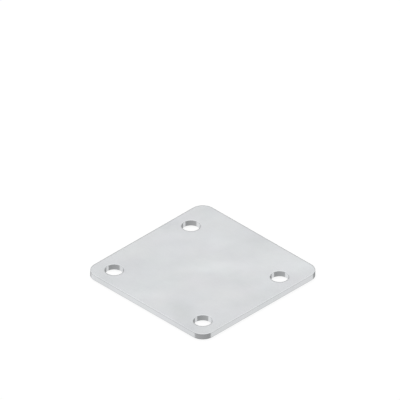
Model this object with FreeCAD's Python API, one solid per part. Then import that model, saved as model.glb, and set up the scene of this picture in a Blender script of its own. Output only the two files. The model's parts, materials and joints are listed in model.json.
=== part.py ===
"""Cover plate: one flat piece of sheet steel with rounded corners and four plain holes.

Units are millimetres. The origin is the middle of the back face, which lies on whatever the
plate covers. +Z points out of the front face. X and Y run along the edges, and the wide margin
beyond the holes is on the +Y side.
"""
import FreeCAD, Part
import math
import os

# Sheet and outline.
plate_length = 80.0       # along X
plate_width = 80.0        # along Y
plate_thickness = 3.0
corner_radius = 6.5       # of the outline's four corners
edge_break = 0.1          # radius that deburring leaves on every rim

# Holes. Each one is wider than its nominal size, so that what it takes passes freely.
hole_nominal = 8.0
hole_clearance = 1.0      # added to the nominal size
side_margin = 10.0        # from the -X and +X edges to the hole centres
near_margin = 10.0        # from the -Y edge to the nearer pair of holes
far_margin = 18.0         # from the +Y edge to the other pair

hole_diameter = hole_nominal + hole_clearance
front_z = plate_thickness
quarter_turn = 90.0       # degrees that each corner arc goes round
same_height = 0.0001      # two heights closer than this are one height
UP = FreeCAD.Vector(0, 0, 1)


def corner_centres():
    """Centres of the outline's corner arcs, anticlockwise from the +X +Y corner."""
    x = plate_length / 2 - corner_radius
    y = plate_width / 2 - corner_radius
    return [FreeCAD.Vector(x, y, 0), FreeCAD.Vector(-x, y, 0),
            FreeCAD.Vector(-x, -y, 0), FreeCAD.Vector(x, -y, 0)]


def point_on_corner(centre, degrees):
    """The point of a corner arc in the given direction from its centre."""
    angle = math.radians(degrees)
    return centre + FreeCAD.Vector(math.cos(angle), math.sin(angle), 0) * corner_radius


def corner_arcs():
    """First, middle and last point of each corner arc, anticlockwise."""
    arcs = []
    for quarter, centre in enumerate(corner_centres()):
        start = quarter * quarter_turn
        stations = (start, start + quarter_turn / 2, start + quarter_turn)
        arcs.append([point_on_corner(centre, station) for station in stations])
    return arcs


def outline():
    """The rounded rectangle that the plate is cut to, on the back face."""
    arcs = corner_arcs()
    edges = []
    for quarter, (first, middle, last) in enumerate(arcs):
        edges.append(Part.Arc(first, middle, last).toShape())
        next_first = arcs[(quarter + 1) % len(arcs)][0]
        edges.append(Part.LineSegment(last, next_first).toShape())
    return Part.Wire(edges)


def blank():
    """The sheet before its holes are made, with square rims."""
    return Part.Face(outline()).extrude(UP * plate_thickness)


def hole_centres():
    """Centres of the four holes on the back face."""
    left = -plate_length / 2 + side_margin
    right = plate_length / 2 - side_margin
    near = -plate_width / 2 + near_margin
    far = plate_width / 2 - far_margin
    return [FreeCAD.Vector(x, y, 0) for y in (near, far) for x in (left, right)]


def hole_cutter(centre):
    """The round bar of space that one hole takes out of the sheet."""
    return Part.makeCylinder(hole_diameter / 2, plate_thickness, centre, UP)


def lies_at(edge, height):
    """Whether an edge lies flat at the given height."""
    box = edge.BoundBox
    return max(abs(box.ZMin - height), abs(box.ZMax - height)) < same_height


def rims(solid):
    """Every edge that lies in the back face or in the front face."""
    return [edge for edge in solid.Edges if lies_at(edge, 0) or lies_at(edge, front_z)]


def cover_plate():
    """The finished plate, with its holes made and every rim broken."""
    square_edged = blank().cut([hole_cutter(centre) for centre in hole_centres()]).Solids[0]
    return square_edged.makeFillet(edge_break, rims(square_edged)).Solids[0]


def main():
    os.makedirs("parts", exist_ok=True)
    plate = cover_plate()
    plate.exportStep("parts/cover_plate.step")
    print("cover_plate", plate.ShapeType, "valid", plate.isValid(),
          "volume", round(plate.Volume, 1), "mm3, faces", len(plate.Faces))


main()
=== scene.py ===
"""Looks of the cover plate: satin zinc coated sheet steel on a white studio floor."""

import json
import math

import bpy
from mathutils import Matrix, Vector


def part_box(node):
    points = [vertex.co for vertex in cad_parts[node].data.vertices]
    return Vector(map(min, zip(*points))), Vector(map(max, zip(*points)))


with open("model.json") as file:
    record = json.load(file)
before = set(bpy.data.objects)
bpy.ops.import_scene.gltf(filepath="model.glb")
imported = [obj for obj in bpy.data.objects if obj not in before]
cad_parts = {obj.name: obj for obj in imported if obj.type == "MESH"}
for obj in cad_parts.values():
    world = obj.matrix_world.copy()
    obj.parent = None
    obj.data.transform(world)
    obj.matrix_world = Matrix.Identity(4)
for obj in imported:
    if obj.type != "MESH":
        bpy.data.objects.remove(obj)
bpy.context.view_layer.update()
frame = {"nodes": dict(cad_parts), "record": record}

# The frame is in metres, and the shaders work in millimetres.
MM = 1000.0
noise_middle = 0.5               # random values from the nodes run from 0 to 1

# The plate, its box and its holes, as the frame gives them.
plate = frame["nodes"]["cover_plate"]
plate_low, plate_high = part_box("cover_plate")
plate_thickness = plate_high.z - plate_low.z
holes = [mount for mount in frame["record"]["mounts"] if mount["kind"] == "bore"]

# The radii of its outline's corners and of all its rims.
corner_radius = 0.0065
edge_break = 0.0001

# The view. The photograph is a parallel projection with one scale all over.
view_azimuth = math.radians(45)
view_elevation = math.radians(35)
frame_pixels = 400
pixels_per_metre = 2088.4
plate_pixel = (202.77, 269.79)   # where the middle of the front face shows, from the top left
camera_distance = 1.0

# The axes, and the level directions towards the camera and to the right of the picture.
along_x = Vector((1, 0, 0))
along_y = Vector((0, 1, 0))
along_z = Vector((0, 0, 1))
towards_camera = Vector((math.sin(view_azimuth), -math.cos(view_azimuth), 0))
picture_right = Vector((math.cos(view_azimuth), math.sin(view_azimuth), 0))


class Wire:
    """An output socket of a node. Sums and products with it add Math nodes to its tree."""

    def __init__(self, nodes, socket):
        self.nodes = nodes
        self.socket = socket

    def maths(self, operation, *values):
        """What a Math node makes of these values."""
        return self.nodes.add("ShaderNodeMath", {"operation": operation}, dict(enumerate(values)))

    def __add__(self, other):
        return self.maths("ADD", self, other)

    __radd__ = __add__

    def __sub__(self, other):
        return self.maths("SUBTRACT", self, other)

    def __rsub__(self, other):
        return self.maths("SUBTRACT", other, self)

    def __mul__(self, other):
        return self.maths("MULTIPLY", self, other)

    __rmul__ = __mul__

    def __truediv__(self, other):
        return self.maths("DIVIDE", self, other)

    def __pow__(self, power):
        return self.maths("POWER", self, power)

    def __abs__(self):
        return self.maths("ABSOLUTE", self)

    def smaller(self, other):
        return self.maths("MINIMUM", self, other)

    def larger(self, other):
        return self.maths("MAXIMUM", self, other)

    def between(self, low, high):
        """0 up to low and 1 from high on, with a soft passage from one to the other."""
        return self.nodes.add(
            "ShaderNodeMapRange", {"interpolation_type": "SMOOTHSTEP"},
            {"Value": self, "From Min": low, "From Max": high})

    def past(self, middle, softness):
        """0 before the middle value and 1 past it, over a passage as wide as the softness."""
        return self.between(middle - softness / 2, middle + softness / 2)

    def towards(self, other, share):
        """This value, moved the given share of the way to the other one."""
        return self + share * (other - self)

    def along(self, axis):
        """How far this vector reaches along an axis."""
        return self.nodes.add(
            "ShaderNodeVectorMath", {"operation": "DOT_PRODUCT"}, {0: self, 1: axis}, "Value")

    def stretched(self, factors):
        """This vector with each of its parts multiplied by its own factor."""
        return self.nodes.add(
            "ShaderNodeVectorMath", {"operation": "MULTIPLY"}, {0: self, 1: factors})

    def scaled(self, factor):
        """This vector or colour with all of its parts multiplied by one factor."""
        return self.nodes.add(
            "ShaderNodeVectorMath", {"operation": "SCALE"}, {0: self, "Scale": factor})

    def shifted(self, step):
        """This vector with another one added."""
        return self.nodes.add("ShaderNodeVectorMath", {"operation": "ADD"}, {0: self, 1: step})

    def length(self):
        """How long this vector is."""
        return self.nodes.add("ShaderNodeVectorMath", {"operation": "LENGTH"}, {0: self}, "Value")


class Nodes:
    """Adds nodes to the tree of one material or of the world."""

    def __init__(self, owner):
        owner.use_nodes = True
        self.tree = owner.node_tree
        self.tree.nodes.clear()

    def add(self, kind, settings, sockets, output=0):
        """A node of this type, its settings made first, then its sockets. Gives one of its outputs."""
        node = self.tree.nodes.new(kind)
        for name, value in settings.items():
            setattr(node, name, value)
        for name, value in sockets.items():
            if isinstance(value, Wire):
                self.tree.links.new(value.socket, node.inputs[name])
            else:
                node.inputs[name].default_value = value
        return Wire(self, node.outputs[output]) if node.outputs else None

    def noise(self, place, scale, detail):
        """Soft random values, either side of zero."""
        values = self.add(
            "ShaderNodeTexNoise", {}, {"Vector": place, "Scale": scale, "Detail": detail})
        return values - noise_middle

    def wander(self, place, scale, detail):
        """Soft random vectors, with each of their parts either side of zero."""
        vectors = self.add(
            "ShaderNodeTexNoise", {}, {"Vector": place, "Scale": scale, "Detail": detail}, "Color")
        return vectors.shifted((-noise_middle,) * 3)


def grey(level):
    """A grey colour, from 0 for black to 1 for white."""
    return (level, level, level, 1.0)


# The studio that the metal shows: a pale sky, darker towards its foot, over a floor with dark
# cards on it. Widths and heights are in degrees, round from the camera's own side and up.
front_card_half_width = 72.0
front_card_level = 0.463         # straight towards the camera
front_card_fall = 0.001          # by which it is darker for each degree to the right
right_back_card_from = 114.0     # round to the right, to straight behind the plate
left_back_card_from = 138.0      # round to the left
back_card_level = 0.38
left_floor_level = 0.99
right_floor_level = 0.944
sky_top_level = 1.14
sky_foot_level = 0.40
sky_top_from = 45.0
near_sky_level = 1.0             # over the camera, where the sky has no darker foot
near_sky_start = 0.1             # how far a direction reaches towards the camera
near_sky_end = 0.7
flag_from = 142.0                # dark flags low in the sky, either side of straight behind
flag_to = 170.0
flag_height = 24.0
flag_level = 0.3
card_softness = 3.0              # over which a card's edge fades
flag_softness = 10.0
horizon_softness = 12.0


def level_below_horizon(azimuth):
    """The pale floor on either side, a dark card on the camera's side and one behind the plate."""
    off_camera = abs(azimuth)
    on_right = azimuth.past(0, card_softness)
    back_card_from = left_back_card_from + on_right * (right_back_card_from - left_back_card_from)
    behind = (off_camera - back_card_from).past(0, card_softness)
    beside = off_camera.past(front_card_half_width, card_softness)
    floor = left_floor_level + on_right * (right_floor_level - left_floor_level)
    front_card = front_card_level - azimuth * front_card_fall
    return front_card.towards(floor.towards(back_card_level, behind), beside)


def level_above_horizon(azimuth, elevation, forward):
    """The sky, darker towards its foot but not over the camera, with the two dark flags in it."""
    off_camera = abs(azimuth)
    sky = sky_foot_level + elevation.between(0, sky_top_from) * (sky_top_level - sky_foot_level)
    sky = sky.towards(near_sky_level, forward.between(near_sky_start, near_sky_end))
    flag = off_camera.past(flag_from, flag_softness) * (1 - off_camera.past(flag_to, flag_softness))
    flag = flag * (1 - elevation.past(flag_height, flag_softness))
    return sky.towards(flag_level, flag)


def studio_level(nodes):
    """How bright the studio is in each direction."""
    direction = nodes.add("ShaderNodeTexCoord", {}, {}, "Generated")
    forward = direction.along(towards_camera)
    rightward = direction.along(picture_right)
    height = direction.along(along_z)
    azimuth = rightward.maths("ARCTAN2", rightward, forward) * math.degrees(1)
    elevation = height.maths("ARCSINE", height) * math.degrees(1)
    low = level_below_horizon(azimuth)
    high = level_above_horizon(azimuth, elevation, forward)
    return low.towards(high, elevation.past(0, horizon_softness))


ambient_level = 0.6              # what the world gives to dull surfaces
backdrop_level = 1.0             # white, as the camera sees it


def light_world():
    """White to the camera, the pale studio to the metal, and even soft light to all else."""
    world = bpy.data.worlds.new("studio")
    bpy.context.scene.world = world
    nodes = Nodes(world)
    ray = {kind: nodes.add("ShaderNodeLightPath", {}, {}, kind)
           for kind in ("Is Camera Ray", "Is Glossy Ray", "Is Transmission Ray")}
    mirrored = ray["Is Glossy Ray"].larger(ray["Is Transmission Ray"])
    level = ambient_level + mirrored * (studio_level(nodes) - ambient_level)
    level = level.towards(backdrop_level, ray["Is Camera Ray"])
    light = nodes.add("ShaderNodeBackground", {}, {"Color": grey(1.0), "Strength": level})
    nodes.add("ShaderNodeOutputWorld", {}, {"Surface": light})
    # Rays find the world by themselves, so that what it gives to each kind of ray stays apart.
    world.cycles.sampling_method = "NONE"


floor_size = 4.0
floor_gap = 0.00002              # keeps the floor's surface from fighting with the plate's back
floor_dull = 0.2                 # share of the light that the floor gives back as a dull surface
floor_shine = 0.83               # light of its own that makes it white to the camera


def lay_floor():
    """A white floor that still darkens where the plate shades it."""
    bpy.ops.mesh.primitive_plane_add(size=floor_size, location=(0, 0, -floor_gap))
    floor = bpy.context.object
    floor.name = "studio_floor"
    floor.visible_glossy = False
    material = bpy.data.materials.new("white_floor")
    nodes = Nodes(material)
    seen = nodes.add("ShaderNodeLightPath", {}, {}, "Is Camera Ray")
    surface = nodes.add(
        "ShaderNodeBsdfPrincipled", {},
        {"Base Color": grey(floor_dull), "Roughness": 1.0, "Specular IOR Level": 0.0,
         "Emission Color": grey(1.0), "Emission Strength": seen * floor_shine})
    nodes.add("ShaderNodeOutputMaterial", {}, {"Surface": surface})
    floor.data.materials.append(material)


lamp_size = 0.9
lamp_place = Vector((-0.35, 0.25, 1.1))
lamp_power = 6.0


def hang_lamp():
    """One large soft box overhead, a little to the left of the picture's far corner."""
    data = bpy.data.lights.new("soft_box", "AREA")
    data.shape = "DISK"
    data.size = lamp_size
    data.energy = lamp_power
    lamp = bpy.data.objects.new("soft_box", data)
    bpy.context.scene.collection.objects.link(lamp)
    lamp.location = lamp_place
    lamp.rotation_euler = (-lamp_place).to_track_quat("-Z", "Y").to_euler()
    lamp.visible_camera = False
    lamp.visible_glossy = False


def place_camera():
    """Looks along the photograph's parallel view, with the plate where it stands there."""
    data = bpy.data.cameras.new("camera")
    data.type = "ORTHO"
    data.ortho_scale = frame_pixels / pixels_per_metre
    camera = bpy.data.objects.new("camera", data)
    bpy.context.scene.collection.objects.link(camera)
    back = towards_camera * math.cos(view_elevation) + along_z * math.sin(view_elevation)
    up = back.cross(picture_right)
    across = (frame_pixels / 2 - plate_pixel[0]) / pixels_per_metre
    raised = (plate_pixel[1] - frame_pixels / 2) / pixels_per_metre
    aim = along_z * plate_thickness + picture_right * across + up * raised
    turn = Matrix((picture_right, up, back)).transposed()
    camera.matrix_world = Matrix.Translation(aim + back * camera_distance) @ turn.to_4x4()
    bpy.context.scene.camera = camera


def distance_from_outline(place):
    """Millimetres in from the plate's outline, seen from the front."""
    half = plate_high * MM
    radius = corner_radius * MM
    past_x = abs(place.along(along_x)) - (half.x - radius)
    past_y = abs(place.along(along_y)) - (half.y - radius)
    in_corner = (past_x.larger(0) ** 2 + past_y.larger(0) ** 2) ** 0.5
    on_straight = past_x.larger(past_y).smaller(0)
    return radius - in_corner - on_straight


def distance_from_hole(place, hole):
    """Millimetres out from a hole's wall, seen from the front."""
    x, y, _ = hole["pos_m"]
    off_x = place.along(along_x) - x * MM
    off_y = place.along(along_y) - y * MM
    return (off_x ** 2 + off_y ** 2) ** 0.5 - hole["dims"]["r_mm"]


def distance_from_walls(place):
    """Millimetres from the nearest cut wall, of the outline or of a hole."""
    distance = distance_from_outline(place)
    for hole in holes:
        distance = distance.smaller(distance_from_hole(place, hole))
    return distance


# Clouds in the zinc. Each one has its place in millimetres along the plate's two diagonals, its
# half width and half depth along them, and the share by which it is lighter.
width_diagonal = Vector((1, 1, 0)).normalized()
depth_diagonal = Vector((1, -1, 0)).normalized()
clouds = [
    ((13, -2), (17, 4), 0.05),
    ((-4, -2), (8, 4), 0.03),
    ((44, -6), (11, 7), 0.052),
    ((29, 7), (4, 5), 0.035),
    ((5, -25), (4, 9), 0.03),
    ((-18, -29), (5, 4), 0.02),
    ((-30, -12), (5, 4), 0.02),
    ((-29, 21), (10, 4), 0.035),
    ((-19, 9), (4, 4), 0.02),
    ((14, 19), (5, 6), 0.02),
    ((-9, 37), (5, 12), -0.055),
    ((-35, -2), (5, 7), -0.03),
    ((-46, 5), (5, 7), -0.03),
    ((12, 12), (7, 4), -0.04),
    ((28, -26), (8, 4), -0.04),
    ((-15, -39), (7, 4), -0.04),
    ((-4, -49), (8, 4), -0.03),
    ((24, 25), (9, 6), -0.02),
    ((-1, 50), (8, 4), -0.035),
]
cloud_reach = 2.0                # half widths from its middle at which a cloud has faded away
cloud_pull = 12.0                # millimetres by which noise pulls the clouds out of round
cloud_pull_scale = 0.09          # swings of that noise for each millimetre
cloud_detail = 3.0               # finer and finer layers in the noise
mottle_scale = 0.11
mottle_depth = 0.09              # share by which broad noise changes the colour between them


def cloudiness(nodes, place):
    """Share by which clouds make the zinc lighter or darker."""
    pull = nodes.wander(place, cloud_pull_scale, cloud_detail).scaled(cloud_pull)
    pulled = place.shifted(pull)
    along_diagonals = nodes.add(
        "ShaderNodeCombineXYZ", {},
        {"X": pulled.along(width_diagonal), "Y": pulled.along(depth_diagonal)})
    total = nodes.noise(place, mottle_scale, cloud_detail) * mottle_depth
    for (width_place, depth_place), (half_width, half_depth), lighter in clouds:
        off_middle = along_diagonals.shifted((-width_place, -depth_place, 0))
        away = off_middle.stretched((1 / half_width, 1 / half_depth, 0)).length()
        total = total + (1 - away.between(0, cloud_reach)) * lighter
    return total


# Zinc coated steel. Lengths are in millimetres, scales are swings of a noise for each millimetre,
# and depths are the shares by which the colour gets lighter or darker.
zinc_colour = (0.701, 0.715, 0.728)
tint_scale = 0.06
tint_detail = 2.0                # finer and finer layers in the tint
tint_depth = 0.023               # by which red, green and blue wander apart
flake_size = 1.1                 # across one crystal of the zinc
flake_depth = 0.008
roll_line_scale = (0.06, 5.0, 5.0)
roll_line_depth = 0.05           # of the fine lines that rolling left along X
cut_line_scale = (3.0, 3.0, 0.15)
cut_line_depth = 0.06            # of the upright lines that cutting left on the walls
line_detail = 2.0                # finer and finer layers in the lines
# Painted shade: a dark line in the colour round the outline's walls, just below each face.
painted_rim_shadow_start = 0.03           # how far below a face the painted dark line of shade starts
painted_rim_shadow_end = 0.3
painted_rim_shadow_softness = 0.1
painted_rim_shadow_depth = 0.20
outline_wall_depth = 0.1         # how far in from the outline its wall is still meant
roll_over_width = 0.6            # beside each rim, where cutting pulled the face down a little
roll_over_relief = 0.125         # how far, at the rim
grain_scale = 4.0
grain_relief = 0.006
face_roughness = 0.36
wall_roughness = 0.18
roughness_change = 0.5           # how much of the lightness changes is a change of roughness too


def tinted_zinc(nodes, place):
    """The zinc's own colour, with red, green and blue each a little off in their own patches."""
    off = nodes.wander(place, tint_scale, tint_detail)
    return off.scaled(tint_depth).shifted(zinc_colour)


def flakes(nodes, place):
    """Random values, one for each crystal of the zinc, either side of zero."""
    crystals = nodes.add(
        "ShaderNodeTexVoronoi", {}, {"Vector": place, "Scale": 1 / flake_size}, "Color")
    return crystals.along(along_x) - noise_middle


def fine_lines(nodes, place, scale):
    """Random values drawn out into lines by their scale along each axis, either side of zero."""
    return nodes.noise(place.stretched(scale), 1.0, line_detail)


def depth_below_faces(place):
    """Millimetres from the nearer one of the two faces."""
    height = place.along(along_z)
    return height.smaller(plate_thickness * MM - height)


def painted_rim_shadow(place, depth):
    """1 on a soft line round the outline's walls, just below each face, and 0 elsewhere: where painted
    shade darkens the colour.
    """
    soft = painted_rim_shadow_softness
    line = depth.between(painted_rim_shadow_start, painted_rim_shadow_start + soft)
    line = line * (1 - depth.between(painted_rim_shadow_end, painted_rim_shadow_end + soft))
    inside = distance_from_outline(place).between(outline_wall_depth, outline_wall_depth + soft)
    return line * (1 - inside)


def relief(nodes, place, lines):
    """Height of the surface in millimetres: its grain and lines, pulled down at every rim."""
    pulled_down = (1 - distance_from_walls(place) / roll_over_width).larger(0) ** 2
    grain = nodes.noise(place, grain_scale, line_detail)
    return (grain + lines) * grain_relief - pulled_down * roll_over_relief


def zinc_coated_steel():
    """Satin zinc on rolled sheet: faintly clouded faces, fine lines, cut walls, softened rims and a
    painted dark line of shade round the outline's rims.
    """
    material = bpy.data.materials.new("zinc_coated_steel")
    nodes = Nodes(material)
    place = nodes.add("ShaderNodeTexCoord", {}, {}, "Object").scaled(MM)
    depth = depth_below_faces(place)
    on_wall = depth.between(0, edge_break * MM)
    roll_lines = fine_lines(nodes, place, roll_line_scale) * (1 - on_wall)
    cut_lines = fine_lines(nodes, place, cut_line_scale) * on_wall

    change = cloudiness(nodes, place) + flakes(nodes, place) * flake_depth
    change = change + roll_lines * roll_line_depth + cut_lines * cut_line_depth
    # The colour is darker on a line round the outline's rims: painted shade.
    lightness = (1 + change) * (1 - painted_rim_shadow(place, depth) * painted_rim_shadow_depth)
    colour = tinted_zinc(nodes, place).scaled(lightness)
    roughness = face_roughness + on_wall * (wall_roughness - face_roughness)
    roughness = roughness - change * roughness_change
    height = relief(nodes, place, roll_lines + cut_lines)
    normal = nodes.add("ShaderNodeBump", {}, {"Height": height, "Distance": 1 / MM})
    surface = nodes.add(
        "ShaderNodeBsdfPrincipled", {},
        {"Base Color": colour, "Metallic": 1.0, "Roughness": roughness, "Normal": normal})
    nodes.add("ShaderNodeOutputMaterial", {}, {"Surface": surface})
    return material


plate.material_slots[0].material = zinc_coated_steel()
lay_floor()
hang_lamp()
light_world()
place_camera()
bpy.context.scene.view_settings.view_transform = "Standard"
